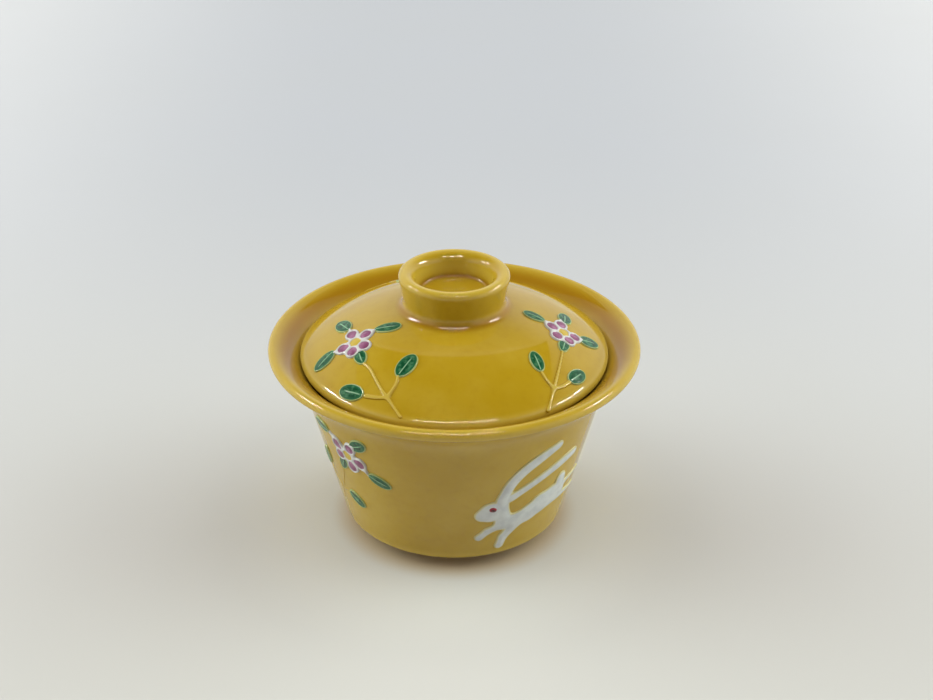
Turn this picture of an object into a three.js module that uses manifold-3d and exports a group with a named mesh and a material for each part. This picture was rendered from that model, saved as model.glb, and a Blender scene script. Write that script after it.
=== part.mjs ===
// A lidded bowl of yellow-glazed stoneware: a flared bowl on a foot ring, a domed lid with a ring knob,
// and raised slip ornament laid on both. Millimetres, +Z up, origin at the centre of the foot's base.
import * as THREE from "three";
import { mergeVertices } from "three/addons/utils/BufferGeometryUtils.js";
import Module from "manifold-3d";

const wasm = await Module();
wasm.setup();

// Bowl sizes
const RIM_RADIUS = 57.5;
const LIP_HEIGHT = 61.5; // middle of the rounded lip above the table
const BOWL_WALL = 3.4;
const WALL_LEAN_DEG = 14.8; // the straight wall's lean from upright
const FLARE_REACH = 7.5; // how far the middle of the lip stands outside the line of the wall
const FLARE_RADIUS = 19;
const BASE_ROUND = 3;
const FLOOR_THICKNESS = 5;
const FLOOR_ROUND = 8;
const FOOT_HEIGHT = 4;
const FOOT_INSET = 9.5; // from the widest part of the base in to the foot ring
const FOOT_WIDTH = 4.5;
const FOOT_ROUND = 0.8;

// Lid sizes
const SEAT_INSET = 9.8; // from the rim in to the lid's edge
const SEAT_CLEARANCE = 0.3; // between the lid's rounded edge and the flare that carries it
const LID_WALL = 4.6;
const DOME_RISE = 14.9; // from the middle of the lid's edge to the middle of its crown
const KNOB_RADIUS = 17;
const KNOB_HEIGHT = 11.8;
const KNOB_WALL = 3.2;
const KNOB_WAIST_INSET = 1.6;
const KNOB_FOOT_SPREAD = 1.4;
const KNOB_FOOT_THICKNESS = 0.6;
const KNOB_RECESS = 7.5; // from the knob's crest down to the floor inside it
const KNOB_CLEARANCE = 0.3; // between the knob's bore and the pad that it is luted around
const PAD_ROUND = 1;

// Slip ornament sizes
const SLIP_GAP = 0.3; // between the ornament and the glazed wall
const LEAF_HEIGHT = 0.6;
const PETAL_HEIGHT = 0.7;
const PETAL_COUNT = 5;
const PETAL_LENGTH = 4.6;
const PETAL_WIDTH = 3.6;
const PETAL_REACH = 4; // from the flower's middle to the middle of a petal
const FLOWER_EYE = 3.6;
const FLOWER_EYE_HEIGHT = 1;
const STEM_WIDTH = 1.1;
const STEM_HEIGHT = 0.5;
const HARE_HEIGHT = 0.9;
const HARE_EYE = 2;
const HARE_EYE_HEIGHT = 0.5;
const SKETCH_SQUARE = 2; // one square of the paper that the layouts are drawn on
const LIFT_STEP = 0.05; // each further lump of one ornament starts this much higher
const BEAD_END_SHARE = 0.55; // how full a bead of slip still is at its ends

// Places of the ornament: bare margins on the skin, and turns round the axis from +X
const LID_SPRAY_EDGE = 0.2; // down to the lid's rounded edge
const LID_SPRAY_TOP = 2.9; // up to the knob's foot
const BOWL_SPRAY_FLOOR = 8.1; // down to the rounded base
const BOWL_SPRAY_TOP = 0.5; // up to the flare
const HARE_FLOOR = 0.6;
const HARE_TOP = 1.6;
const LID_LEFT_DEG = 225;
const LID_RIGHT_DEG = 330;
const LID_BACK_DEG = 103;
const BOWL_SPRAY_DEG = 223;
const HARE_DEG = 305;
const HALF_TURN_DEG = 180;

// Fineness of the meshes
const TURN_SIDES = 48;
const ARC_STEPS = 5;
const DOME_STEPS = 8;
const CORNER_STEPS = 2;
const LUMP_SIDES = 12;
const BEAD_STEP = 2.6;

// A layout's places and sizes, from squares of the sketch to millimetres. Turns and the shares of tips stay as drawn.
function sized(layout) {
  if (typeof layout === "number") return layout * SKETCH_SQUARE;
  if (Array.isArray(layout)) return layout.map(sized);
  const entries = Object.entries(layout).map(([key, value]) => {
    const plain = key === "turn" || key === "tip";
    return [key, plain ? value : sized(value)];
  });
  return Object.fromEntries(entries);
}

// The layouts of a flowering spray, drawn on a flat patch: x runs round the vessel and y up its skin.
const lidSpray = sized({
  flower: { x: -5.3, y: 2.3, turn: 11 },
  leaves: {
    outer_leaf: { x: -11, y: 4.5, turn: 168, length: 3.9, width: 2.5, tip: 0.2 },
    upper_leaf: { x: -3, y: 7, turn: 40, length: 4, width: 2.1, tip: 0.3 },
    lower_leaf: { x: -7.95, y: -2.5, turn: 265, length: 4, width: 2.4, tip: 0.3 },
    bud_leaf: { x: -1.8, y: 0.15, turn: 340, length: 2.1, width: 1.6, tip: 0.2 },
    edge_leaf: { x: 1.05, y: -5.1, turn: 192, length: 3.5, width: 2.6, tip: 0.2 },
    side_leaf: { x: 5.35, y: 2.7, turn: 97, length: 4.1, width: 2.8, tip: 0.3 },
  },
  branches: [
    { path: [[-0.2, -0.4], [3, -1.6], [6.6, -3.1], [10.3, -4.5]] },
    { path: [[5.7, 0.2], [6.4, -1], [6.6, -3]] },
    { path: [[3.4, -4.5], [5, -4], [6.6, -3.1]] },
  ],
});
const lidSprayRight = sized({
  flower: { x: 5, y: 1.6, turn: 169 },
  leaves: {
    outer_leaf: { x: 9.5, y: 3.4, turn: 22, length: 3, width: 2.3, tip: 0.2 },
    upper_leaf: { x: 4.5, y: 6.8, turn: 102, length: 3.3, width: 2.1, tip: 0.2 },
    lower_leaf: { x: 7.8, y: -2.1, turn: 316, length: 3, width: 2.6, tip: 0.1 },
    bud_leaf: { x: 1.5, y: -0.1, turn: 195, length: 2, width: 1.6, tip: 0.2 },
    edge_leaf: { x: -1.6, y: -4.65, turn: 353, length: 3.3, width: 2.4, tip: 0.2 },
    side_leaf: { x: -4.6, y: 1.2, turn: 53, length: 3.7, width: 2.2, tip: 0.3 },
  },
  branches: [
    { path: [[0, -0.8], [-2, -1.7], [-6.6, -3.6], [-10.3, -5.1]] },
    { path: [[-5.9, -0.7], [-6.4, -2], [-6.7, -3.5]] },
    { path: [[-3.7, -4.5], [-5.2, -4.3], [-6.7, -3.6]] },
  ],
});
const bowlSpray = sized({
  flower: { x: 0.55, y: 3.3, turn: 63 },
  leaves: {
    upper_leaf: { x: -5.3, y: 6.3, turn: 180, length: 4.2, width: 1.9, tip: 0.4 },
    crown_leaf: { x: 3.6, y: 6.5, turn: 25, length: 3.3, width: 2.2, tip: 0.2 },
    bud_leaf: { x: -1.7, y: 0, turn: 240, length: 2.2, width: 1.7, tip: 0.2 },
    side_leaf: { x: 6, y: 0, turn: 335, length: 4.2, width: 2.1, tip: 0.4 },
    lower_leaf: { x: -0.6, y: -6.75, turn: 332, length: 3.5, width: 2.2, tip: 0.3 },
    outer_leaf: { x: -7.4, y: -1.5, turn: 85, length: 3.4, width: 2, tip: 0.3 },
  },
  branches: [
    { path: [[-2.6, -1.6], [-3.4, -4], [-5, -7.2], [-6.3, -10]] },
    { path: [[-2.8, -6.2], [-3.8, -6.5], [-5, -7.2]] },
    { path: [[-7.5, -3.7], [-6.9, -5.6], [-5.1, -7.3]] },
  ],
});

// The leaping hare, facing left: lumps for head and trunk, beads for ears, legs and scut.
const leapingHare = sized({
  lumps: [
    { x: -7.5, y: -1.45, turn: 20, length: 4.7, width: 4.3 },
    { x: -5, y: -2.4, turn: 95, length: 6, width: 2.9 },
    { x: -3.4, y: -4.3, turn: 4, length: 4.6, width: 3.8 },
    { x: 0.2, y: -3.4, turn: 22, length: 6.4, width: 4 },
    { x: 4.2, y: -2.2, turn: 4, length: 6, width: 4.6 },
  ],
  beads: [
    { path: [[-5.5, -0.4], [-4.9, 4.2], [-3.3, 6.5], [-1, 8.3], [1.5, 9.45], [3.9, 10]], width: 2.2 },
    { path: [[-5, -0.2], [-1.5, 2.7], [1, 3.95], [4, 4.9], [6.75, 5.45], [8.8, 5.5]], width: 1.8 },
    { path: [[5.4, -1.6], [9.5, -1.1], [12.4, -1.2]], width: 1.3 },
    { path: [[5, -3.2], [9.5, -4.2], [12.4, -4.9]], width: 1.5 },
    { path: [[-4.6, -4.6], [-7, -6], [-8.3, -7.6]], width: 1.7 },
    { path: [[-2.4, -5], [-4, -7.8], [-4.35, -9.9]], width: 1.9 },
    { path: [[5.8, -1.6], [6, 0.3], [6.1, 1.5]], width: 2.4 },
  ],
  eye: { x: -7, y: -0.7 },
});

// Worked-out sizes of the bowl, in the plane of radius and height
const lean = THREE.MathUtils.degToRad(WALL_LEAN_DEG);
const halfWall = BOWL_WALL / 2;
const upWall = new THREE.Vector2(Math.sin(lean), Math.cos(lean));
const outWall = new THREE.Vector2(Math.cos(lean), -Math.sin(lean));
const lipMiddle = new THREE.Vector2(RIM_RADIUS - halfWall, LIP_HEIGHT);
const flareDepth = FLARE_REACH * Math.cos(lean);
const flareRun = Math.sqrt(2 * FLARE_RADIUS * flareDepth - flareDepth ** 2);
const flareTurn = 2 * Math.atan2(flareDepth, flareRun);
const flareStart = lipMiddle.clone().addScaledVector(outWall, -flareDepth).addScaledVector(upWall, -flareRun);
const flareMiddle = flareStart.clone().addScaledVector(outWall, FLARE_RADIUS);
const wallTop = flareStart.clone().addScaledVector(outWall, halfWall);
const wallFoot = wallAt(FOOT_HEIGHT + BASE_ROUND - BASE_ROUND * Math.sin(lean));
const baseFlat = wallFoot.x - BASE_ROUND * Math.cos(lean);
const footRadius = baseFlat + BASE_ROUND - FOOT_INSET;
const floorHeight = FOOT_HEIGHT + FLOOR_THICKNESS;

// Worked-out sizes of the lid
const halfLid = LID_WALL / 2;
const lidEdgeRadius = RIM_RADIUS - SEAT_INSET - halfLid;
const seatReach = FLARE_RADIUS + halfWall + SEAT_CLEARANCE + halfLid;
const lidEdgeHeight = flareMiddle.y + Math.sqrt(seatReach ** 2 - (flareMiddle.x - lidEdgeRadius) ** 2);
const domeRadius = (lidEdgeRadius ** 2 + DOME_RISE ** 2) / (2 * DOME_RISE);
const domeMiddle = lidEdgeHeight + DOME_RISE - domeRadius;
const lidEdgeAngle = Math.asin(lidEdgeRadius / domeRadius); // from the axis, about the dome's middle
const lidSkin = domeRadius + halfLid;
const knobFoot = KNOB_RADIUS - KNOB_WAIST_INSET + KNOB_FOOT_SPREAD;
const knobFootAngle = Math.asin(knobFoot / lidSkin);
const knobSeat = domeMiddle + lidSkin * Math.cos(knobFootAngle);
const knobTop = knobSeat + KNOB_HEIGHT;
const knobBore = KNOB_RADIUS - KNOB_WALL;
const padRadius = knobBore - KNOB_CLEARANCE;
const padHeight = knobTop - KNOB_RECESS;

// Point of the bowl's straight outer wall at a height above the table.
function wallAt(height) {
  return wallTop.clone().addScaledVector(upWall, (height - wallTop.y) / upWall.y);
}

// Points of an arc in the plane of radius and height, from one angle to another in radians.
function arc(middle, radius, from, to, steps) {
  return Array.from({ length: steps + 1 }, (_, i) => {
    const angle = from + ((to - from) * i) / steps;
    return new THREE.Vector2(middle.x + radius * Math.cos(angle), middle.y + radius * Math.sin(angle));
  });
}

// A body turned on the wheel: the profile runs from the underside outwards, up and back.
function turned(profile) {
  return new THREE.LatheGeometry(profile, TURN_SIDES).rotateX(Math.PI / 2);
}

function bowlBody() {
  const corner = new THREE.Vector2(baseFlat, FOOT_HEIGHT + BASE_ROUND);
  const flareFrom = Math.PI - lean;
  const flareTo = flareFrom - flareTurn;
  const floorCorner = wallAt(floorHeight + FLOOR_ROUND);
  floorCorner.x -= (BOWL_WALL + FLOOR_ROUND) / Math.cos(lean);
  return turned([
    new THREE.Vector2(0, FOOT_HEIGHT),
    ...arc(corner, BASE_ROUND, -Math.PI / 2, -lean, ARC_STEPS),
    ...arc(flareMiddle, FLARE_RADIUS - halfWall, flareFrom, flareTo, ARC_STEPS),
    ...arc(lipMiddle, halfWall, flareTo - Math.PI, flareTo, ARC_STEPS).slice(1, -1),
    ...arc(flareMiddle, FLARE_RADIUS + halfWall, flareTo, flareFrom, ARC_STEPS),
    ...arc(floorCorner, FLOOR_ROUND, -lean, -Math.PI / 2, ARC_STEPS),
    new THREE.Vector2(0, floorHeight),
  ]);
}

function footRing() {
  const inside = footRadius - FOOT_WIDTH;
  const outerCorner = new THREE.Vector2(footRadius - FOOT_ROUND, FOOT_ROUND);
  const innerCorner = new THREE.Vector2(inside + FOOT_ROUND, FOOT_ROUND);
  const outline = [
    ...arc(innerCorner, FOOT_ROUND, -Math.PI, -Math.PI / 2, CORNER_STEPS),
    ...arc(outerCorner, FOOT_ROUND, -Math.PI / 2, 0, CORNER_STEPS),
    new THREE.Vector2(footRadius, FOOT_HEIGHT),
    new THREE.Vector2(inside, FOOT_HEIGHT),
  ];
  return turned([...outline, outline[0]]);
}

function lidDome() {
  const middle = new THREE.Vector2(0, domeMiddle);
  const edge = new THREE.Vector2(lidEdgeRadius, lidEdgeHeight);
  const edgeRise = Math.PI / 2 - lidEdgeAngle;
  const seatRise = Math.PI / 2 - knobFootAngle;
  const padCorner = new THREE.Vector2(padRadius - PAD_ROUND, padHeight - PAD_ROUND);
  const underside = arc(middle, domeRadius - halfLid, Math.PI / 2, edgeRise, DOME_STEPS);
  underside[0].x = 0;
  return turned([
    ...underside,
    ...arc(edge, halfLid, edgeRise - Math.PI, edgeRise, ARC_STEPS).slice(1, -1),
    ...arc(middle, lidSkin, edgeRise, seatRise, DOME_STEPS),
    new THREE.Vector2(padRadius, knobSeat),
    ...arc(padCorner, PAD_ROUND, 0, Math.PI / 2, CORNER_STEPS),
    new THREE.Vector2(0, padHeight),
  ]);
}

function knobRing() {
  const round = KNOB_WALL / 2;
  const crest = new THREE.Vector2(KNOB_RADIUS - round, knobTop - round);
  const hollow = new THREE.Vector2(knobFoot, knobSeat + KNOB_FOOT_THICKNESS + KNOB_FOOT_SPREAD);
  const outline = [
    new THREE.Vector2(knobBore, knobSeat),
    new THREE.Vector2(knobFoot, knobSeat),
    ...arc(hollow, KNOB_FOOT_SPREAD, -Math.PI / 2, -Math.PI, CORNER_STEPS),
    ...arc(crest, round, 0, Math.PI, ARC_STEPS),
  ];
  return turned([...outline, outline[0]]);
}

// Half the height of an oval that is turned by some degrees.
function halfRise({ turn, length, width }) {
  const angle = THREE.MathUtils.degToRad(turn);
  return Math.hypot(length * Math.sin(angle), width * Math.cos(angle)) / 2;
}

// How far a drawing reaches down and up from its middle.
function reachOf({ lumps = [], beads = [] }) {
  const heights = [
    ...lumps.flatMap((part) => [part.y - halfRise(part), part.y + halfRise(part)]),
    ...beads.flatMap(({ path, width }) => path.flatMap(([, y]) => [y - width / 2, y + width / 2])),
  ];
  return { low: Math.min(...heights), high: Math.max(...heights) };
}

function sprayReach({ leaves, branches }) {
  const beads = branches.map(({ path }) => ({ path, width: STEM_WIDTH }));
  return reachOf({ lumps: Object.values(leaves), beads });
}

// The lid's skin as a patch that the drawing fills from the lid's edge to the knob's foot.
function onLid(turnDeg, { low, high }) {
  const turn = THREE.MathUtils.degToRad(turnDeg);
  const band = lidSkin * (lidEdgeAngle - knobFootAngle) - LID_SPRAY_EDGE - LID_SPRAY_TOP;
  const scale = band / (high - low);
  const tilt = lidEdgeAngle - (LID_SPRAY_EDGE - low * scale) / lidSkin;
  const round = new THREE.Vector3(-Math.sin(turn), Math.cos(turn), 0);
  const out = new THREE.Vector3(Math.cos(turn), Math.sin(turn), 0);
  const normal = out.multiplyScalar(Math.sin(tilt)).setZ(Math.cos(tilt));
  const up = normal.clone().cross(round);
  const place = (x, y, h) => {
    const angle = (Math.hypot(x, y) * scale) / lidSkin;
    const side = round.clone().multiplyScalar(x).addScaledVector(up, y).normalize();
    const direction = normal.clone().multiplyScalar(Math.cos(angle)).addScaledVector(side, Math.sin(angle));
    const point = direction.multiplyScalar(lidSkin + SLIP_GAP + h);
    point.z += domeMiddle;
    return point;
  };
  return place;
}

// The bowl's wall, unrolled flat, as a patch that the drawing fills between two bare margins.
function onWall(turnDeg, { low, high }, floorMargin, flareMargin) {
  const turn = THREE.MathUtils.degToRad(turnDeg);
  const band = wallTop.distanceTo(wallFoot) - floorMargin - flareMargin;
  const scale = band / (high - low);
  const middle = wallFoot.clone().addScaledVector(upWall, floorMargin - low * scale);
  const slant = middle.x / Math.sin(lean);
  const place = (x, y, h) => {
    const across = x * scale;
    const along = slant + y * scale;
    const swing = turn + Math.atan2(across, along) / Math.sin(lean);
    const climb = Math.hypot(across, along) - slant;
    const point = middle.clone().addScaledVector(upWall, climb).addScaledVector(outWall, SLIP_GAP + h);
    return new THREE.Vector3(point.x * Math.cos(swing), point.x * Math.sin(swing), point.y);
  };
  return place;
}

// A closed mesh from rings of points, with one point before the first ring and one after the last.
function closedRings(first, rings, last) {
  const points = [first, ...rings.flat(), last];
  const sides = rings[0].length;
  const end = points.length - 1;
  const faces = [];
  for (let i = 0; i < sides; i += 1) {
    const next = (i + 1) % sides;
    faces.push(0, 1 + next, 1 + i);
    for (let ring = 0; ring < rings.length - 1; ring += 1) {
      const lower = 1 + ring * sides;
      const upper = lower + sides;
      faces.push(lower + i, lower + next, upper + next, lower + i, upper + next, upper + i);
    }
    faces.push(end, end - sides + i, end - sides + next);
  }
  const geometry = new THREE.BufferGeometry().setFromPoints(points);
  geometry.setIndex(faces);
  return geometry;
}

// A rounded lump of slip: an oval whose ends are pointed by the share tip, flat below and domed above.
function lump(place, { x, y, turn = 0, length, width, height, tip = 0, lift = 0 }) {
  const angle = THREE.MathUtils.degToRad(turn);
  const layers = [
    { spread: 1, rise: 0 },
    { spread: 0.85, rise: 0.7 },
    { spread: 0.45, rise: 0.95 },
  ];
  const at = (along, across, rise) =>
    place(
      x + along * Math.cos(angle) - across * Math.sin(angle),
      y + along * Math.sin(angle) + across * Math.cos(angle),
      lift + rise * height,
    );
  const rings = layers.map(({ spread, rise }) =>
    Array.from({ length: LUMP_SIDES }, (_, i) => {
      const t = (2 * Math.PI * i) / LUMP_SIDES;
      const across = Math.sin(t) * (1 - tip + tip * Math.abs(Math.sin(t)));
      return at((spread * length * Math.cos(t)) / 2, (spread * width * across) / 2, rise);
    }),
  );
  return closedRings(at(0, 0, 0), rings, at(0, 0, 1));
}

// A bead of trailed slip along a smooth line, drawn out thinner towards both ends.
function bead(place, { path, width, height, lift = 0 }) {
  const line = new THREE.CatmullRomCurve3(path.map(([x, y]) => new THREE.Vector3(x, y, 0)));
  const steps = Math.ceil(line.getLength() / BEAD_STEP);
  const section = [
    { across: 0.5, rise: 0 },
    { across: -0.5, rise: 0 },
    { across: -0.36, rise: 0.75 },
    { across: 0, rise: 1 },
    { across: 0.36, rise: 0.75 },
  ];
  const rings = Array.from({ length: steps + 1 }, (_, i) => {
    const middle = line.getPointAt(i / steps);
    const along = line.getTangentAt(i / steps);
    const fullness = BEAD_END_SHARE + (1 - BEAD_END_SHARE) * Math.sin((Math.PI * i) / steps);
    return section.map(({ across, rise }) => {
      const off = across * width * fullness;
      return place(middle.x + along.y * off, middle.y - along.x * off, lift + rise * height * fullness);
    });
  });
  const cap = (ring) => ring.reduce((sum, p) => sum.add(p), new THREE.Vector3()).divideScalar(ring.length);
  return closedRings(cap(rings[0]), rings, cap(rings[steps]));
}

// One closed mesh from several that overlap.
function joined(geometries) {
  const solids = geometries.map((geometry) => {
    const merged = mergeVertices(geometry);
    const vertProperties = merged.getAttribute("position").array;
    const triVerts = new Uint32Array(merged.index.array);
    return new wasm.Manifold(new wasm.Mesh({ numProp: 3, vertProperties, triVerts }));
  });
  const mesh = solids.reduce((whole, solid) => whole.add(solid)).getMesh();
  const geometry = new THREE.BufferGeometry();
  geometry.setAttribute("position", new THREE.BufferAttribute(mesh.vertProperties, mesh.numProp));
  geometry.setIndex(new THREE.BufferAttribute(mesh.triVerts, 1));
  return geometry;
}

function flower(place, { x, y, turn }) {
  const petal = { length: PETAL_LENGTH, width: PETAL_WIDTH, height: PETAL_HEIGHT };
  const petals = Array.from({ length: PETAL_COUNT }, (_, i) => {
    const angle = THREE.MathUtils.degToRad(turn) + (2 * Math.PI * i) / PETAL_COUNT;
    const spot = { x: x + PETAL_REACH * Math.cos(angle), y: y + PETAL_REACH * Math.sin(angle) };
    return lump(place, { ...petal, ...spot, turn: THREE.MathUtils.radToDeg(angle) });
  });
  const eye = { x, y, length: FLOWER_EYE, width: FLOWER_EYE, height: FLOWER_EYE_HEIGHT, lift: LIFT_STEP };
  return joined([...petals, lump(place, eye)]);
}

function stem(place, branches) {
  const size = { width: STEM_WIDTH, height: STEM_HEIGHT };
  return joined(branches.map((branch, i) => bead(place, { ...branch, ...size, lift: i * LIFT_STEP })));
}

function hare(place, { lumps, beads }) {
  const trunk = lumps.map((part, i) => lump(place, { ...part, height: HARE_HEIGHT, lift: i * LIFT_STEP }));
  const limbs = beads.map((part, i) => {
    const lift = (lumps.length + (i % 2)) * LIFT_STEP;
    return bead(place, { ...part, height: HARE_HEIGHT - lift, lift });
  });
  return joined([...trunk, ...limbs]);
}

const glaze = (color, roughness) => new THREE.MeshStandardMaterial({ color, roughness, metalness: 0 });
const yellowGlaze = glaze("#d8a51f", 0.15);
const bareClay = glaze("#cdbd9c", 0.8);
const paleSlip = glaze("#e2c766", 0.25);
const greenEnamel = glaze("#1f6a40", 0.2);
const purpleEnamel = glaze("#a8528c", 0.25);
const whiteSlip = glaze("#e4e2df", 0.3);
const redEnamel = glaze("#96122a", 0.2);

const liddedBowl = new THREE.Group();

function add(name, geometry, material) {
  const mesh = new THREE.Mesh(geometry, material);
  mesh.name = name;
  liddedBowl.add(mesh);
}

function addSpray(name, place, layout) {
  add(`${name}_flower`, flower(place, layout.flower), purpleEnamel);
  add(`${name}_stem`, stem(place, layout.branches), paleSlip);
  for (const [leaf, shape] of Object.entries(layout.leaves)) {
    add(`${name}_${leaf}`, lump(place, { ...shape, height: LEAF_HEIGHT }), greenEnamel);
  }
}

function addLidSpray(name, turnDeg, layout) {
  addSpray(name, onLid(turnDeg, sprayReach(lidSpray)), layout);
}

function addBowlSpray(name, turnDeg) {
  const place = onWall(turnDeg, sprayReach(bowlSpray), BOWL_SPRAY_FLOOR, BOWL_SPRAY_TOP);
  addSpray(name, place, bowlSpray);
}

function addHare(name, turnDeg) {
  const place = onWall(turnDeg, reachOf(leapingHare), HARE_FLOOR, HARE_TOP);
  const eye = { ...leapingHare.eye, length: HARE_EYE, width: HARE_EYE, height: HARE_EYE_HEIGHT };
  add(name, hare(place, leapingHare), whiteSlip);
  add(`${name}_eye`, lump(place, { ...eye, lift: HARE_HEIGHT + SLIP_GAP }), redEnamel);
}

add("bowl_body", bowlBody(), yellowGlaze);
add("foot_ring", footRing(), bareClay);
add("lid_dome", lidDome(), yellowGlaze);
add("knob_ring", knobRing(), yellowGlaze);
addLidSpray("lid_left", LID_LEFT_DEG, lidSpray);
addLidSpray("lid_right", LID_RIGHT_DEG, lidSprayRight);
addLidSpray("lid_back", LID_BACK_DEG, lidSpray);
addBowlSpray("bowl_left", BOWL_SPRAY_DEG);
addBowlSpray("bowl_back", BOWL_SPRAY_DEG - HALF_TURN_DEG);
addHare("hare", HARE_DEG);
addHare("hare_back", HARE_DEG - HALF_TURN_DEG);

export default liddedBowl;
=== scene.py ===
# %% [markdown]
# # A yellow lidded bowl
# The real piece is turned in two parts, a flared bowl on a foot ring and a domed lid with a ring knob.
# Flowers, leaves and two leaping hares are trailed on in raised slip, filled with enamel, and fired under
# a glossy yellow glaze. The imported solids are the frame: every piece made here sits where its solid sits.

# %% Load the frame
from math import asin, atan2, cos, exp, hypot, pi, radians, sin, sqrt, tan

import bmesh
import bpy
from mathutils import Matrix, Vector


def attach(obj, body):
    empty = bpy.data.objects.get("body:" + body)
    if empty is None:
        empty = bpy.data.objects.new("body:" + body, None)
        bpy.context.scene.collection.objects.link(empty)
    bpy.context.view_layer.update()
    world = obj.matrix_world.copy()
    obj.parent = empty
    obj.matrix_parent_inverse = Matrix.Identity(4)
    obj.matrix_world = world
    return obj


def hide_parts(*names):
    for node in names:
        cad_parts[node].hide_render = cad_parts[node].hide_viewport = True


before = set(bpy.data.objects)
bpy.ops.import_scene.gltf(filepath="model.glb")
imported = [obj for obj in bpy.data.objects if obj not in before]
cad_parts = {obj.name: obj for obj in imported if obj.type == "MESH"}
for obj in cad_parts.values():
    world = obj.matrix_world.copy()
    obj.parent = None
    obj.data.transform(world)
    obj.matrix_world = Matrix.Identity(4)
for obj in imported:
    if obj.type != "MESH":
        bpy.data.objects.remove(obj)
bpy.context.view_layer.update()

MM = 0.001

# %% [markdown]
# ## The camera
# A camera can be placed by eye, but here the rim's oval gives it: its width, its flatness and its place in
# the picture fix the distance, the tilt and the lens. The rest of the framing is a small lens shift.

# %% Place the camera
AIM = Vector((0, 0, 61.5 * MM))
VIEW_DISTANCE = 500 * MM
VIEW_TILT = radians(28.15)
SENSOR_WIDTH = 36
LENS = 62.26
SHIFT = (0.0131, -0.0085)
NEAREST_SEEN = 10 * MM


def make_camera():
    lens = bpy.data.cameras.new("camera")
    lens.sensor_width = SENSOR_WIDTH
    lens.lens = LENS
    lens.shift_x, lens.shift_y = SHIFT
    lens.clip_start = NEAREST_SEEN
    camera = bpy.data.objects.new("camera", lens)
    camera.location = AIM + VIEW_DISTANCE * Vector((0, -cos(VIEW_TILT), sin(VIEW_TILT)))
    camera.rotation_euler = (pi / 2 - VIEW_TILT, 0, 0)
    bpy.context.scene.collection.objects.link(camera)
    return camera


bpy.context.scene.camera = make_camera()
bpy.context.scene.view_settings.view_transform = "Standard"
print("camera at", [round(side, 3) for side in bpy.context.scene.camera.location])

# %% [markdown]
# ## Sums on sockets
# Every finish below is a little arithmetic on places and noise. Wiring Math nodes by hand hides that
# arithmetic, so one small class wraps a socket and lets Python's own operators add the nodes.

# %% Wrap a socket


class Wire:
    """A socket of a node tree: sums on it add Math nodes, and make() adds any other node."""

    def __init__(self, tree, socket=None):
        self.tree = tree
        self.socket = socket

    def make(self, kind, settings=None, sockets=None, out=0):
        node = self.tree.nodes.new(kind)
        for name, value in (settings or {}).items():
            setattr(node, name, value)
        for name, value in (sockets or {}).items():
            if isinstance(value, Wire):
                self.tree.links.new(value.socket, node.inputs[name])
            else:
                node.inputs[name].default_value = value
        return Wire(self.tree, node.outputs[out]) if node.outputs else node

    def math(self, operation, *values):
        return self.make("ShaderNodeMath", {"operation": operation}, dict(enumerate(values)))

    def __add__(self, other):
        return self.math("ADD", self, other)

    def __sub__(self, other):
        return self.math("SUBTRACT", self, other)

    def __rsub__(self, other):
        return self.math("SUBTRACT", other, self)

    def __mul__(self, other):
        return self.math("MULTIPLY", self, other)

    def __truediv__(self, other):
        return self.math("DIVIDE", self, other)

    def __pow__(self, other):
        return self.math("POWER", self, other)

    def __abs__(self):
        return self.math("ABSOLUTE", self)

    __radd__ = __add__
    __rmul__ = __mul__

    def clear_of(self, low, high):
        """A soft step from 0 at low to 1 at high."""
        sockets = {"Value": self, "From Min": low, "From Max": high}
        return self.make("ShaderNodeMapRange", {"interpolation_type": "SMOOTHSTEP"}, sockets)

    def within(self, full, none):
        """A soft step the other way: 1 up to full, and 0 from none on."""
        return 1 - self.clear_of(full, none)

    def mix(self, start, end, share=1):
        """The colour start where this is 0, and a share of end laid over it where this is 1."""
        part = self if share == 1 else self * share
        return self.make("ShaderNodeMix", {"data_type": "RGBA"}, {0: part, 6: start, 7: end}, out=2)

    def split(self, axes="XYZ"):
        return [self.make("ShaderNodeSeparateXYZ", {}, {0: self}, out=axis) for axis in axes]

    def noise(self, lumps, detail):
        """Soft noise over the place that this carries, with so many lumps to the metre."""
        sockets = {"Vector": self, "Scale": lumps, "Detail": detail}
        return self.make("ShaderNodeTexNoise", {}, sockets)


def strongest(masks):
    total = masks[0]
    for mask in masks[1:]:
        total = total.math("MAXIMUM", total, mask)
    return total


def colour(red, green, blue):
    return (red, green, blue, 1)


def blank_tree(holder):
    holder.use_nodes = True
    holder.node_tree.nodes.clear()
    return Wire(holder.node_tree)


print("socket sums ready")

# %% [markdown]
# ## The light
# The bowl stands on a pale sheet in a small photo box: bright walls to the left, right and back, a dark
# roof that ends at a pale bar towards the back, and an open, darker front. Big lamps alone would give flat
# reflections, so the box is painted on the world, as the camera and the glaze see it. As a source of light
# the two side walls are the brightest, then the roof with its lamps, then the back, and the front is dim.

# %% Paint the box on the world
WALL_TONE = colour(0.74, 0.75, 0.77)
WALL_HIGH = colour(0.25, 0.255, 0.26)
ROOF_TONE = colour(0.03, 0.027, 0.024)
BAR_TONE = colour(0.5, 0.46, 0.4)
FRONT_TONE = colour(0.16, 0.14, 0.12)
LIGHT_TONE = colour(1.0, 0.97, 0.92)
SIDE_TONE = colour(0.88, 1.03, 0.99)
LIGHT_TOP, LIGHT_BACK, LIGHT_FRONT, LIGHT_SIDE = 1.42, 0.15, 0.06, 4.3
ROOF_HALF_WIDTH, ROOF_BACK_EDGE, ROOF_FRONT_EDGE = 0.79, 0.41, (-0.9, -0.6)
ROOF_BEND, ROOF_SOFT, ROOF_LOWEST = 1.2, 0.015, 0.05
BAR_HALF, BAR_SOFT, BAR_ENDS = 0.035, 0.01, (0.7, 0.8)
SIDE_ACROSS, SIDE_DEPTH = (0.5, 0.85), (-0.6, 0)
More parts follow.
